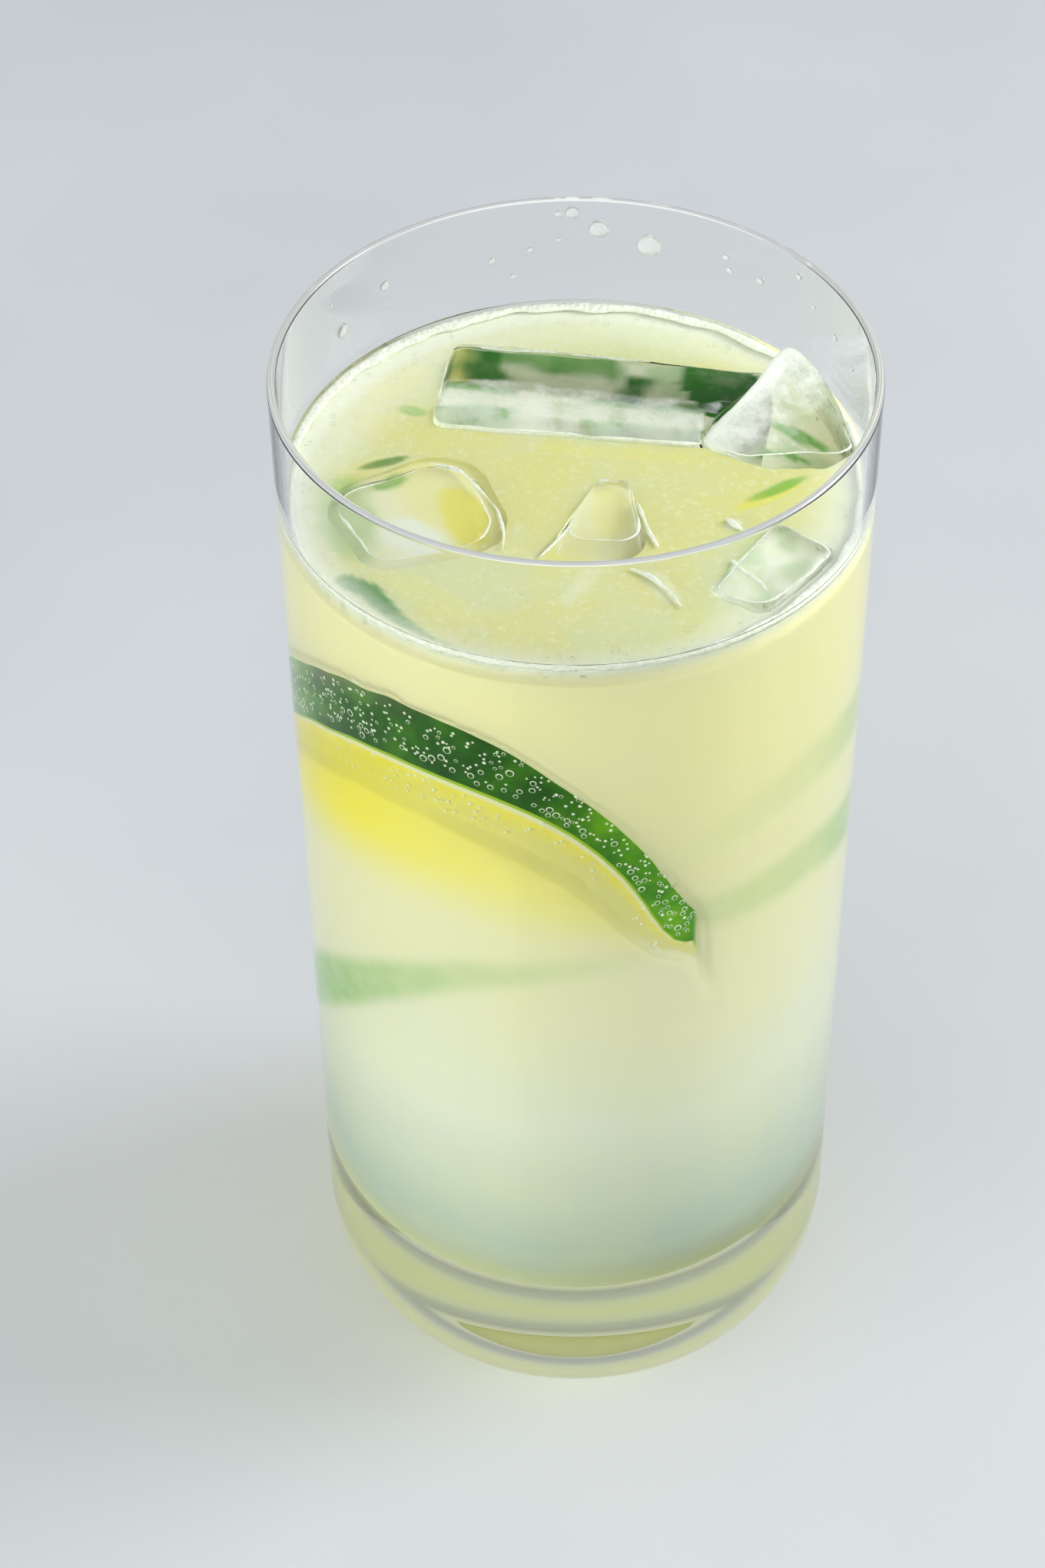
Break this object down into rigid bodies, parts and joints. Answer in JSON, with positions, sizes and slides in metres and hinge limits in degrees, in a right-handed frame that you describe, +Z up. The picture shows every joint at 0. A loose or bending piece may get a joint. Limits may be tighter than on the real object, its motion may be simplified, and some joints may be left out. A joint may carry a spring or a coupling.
{
  "type": "gin rickey in a highball glass",
  "caption": "Tall clear highball glass with a thick base, filled with a cloudy lime drink, with clear ice at the surface and sunk lime slices.",
  "frame": {"origin": "centre of the glass's foot, on the surface it stands on", "axes": "+Z up along the axis of the glass; -Y towards the side with the lime slice against the wall"},
  "size_m": [0.07, 0.07, 0.15],
  "materials": {
    "clear_glass": "clear polished glass",
    "lime_drink": "cloudy pale yellow-green liquid",
    "clear_ice": "clear wet ice with melted edges"
  },
  "bodies": {
    "root": {"glass": "clear_glass", "drink": "lime_drink", "ice_back": "clear_ice", "ice_right": "clear_ice", "ice_left": "clear_ice", "ice_centre": "clear_ice", "ice_front": "clear_ice"}
  },
  "joints": []
}
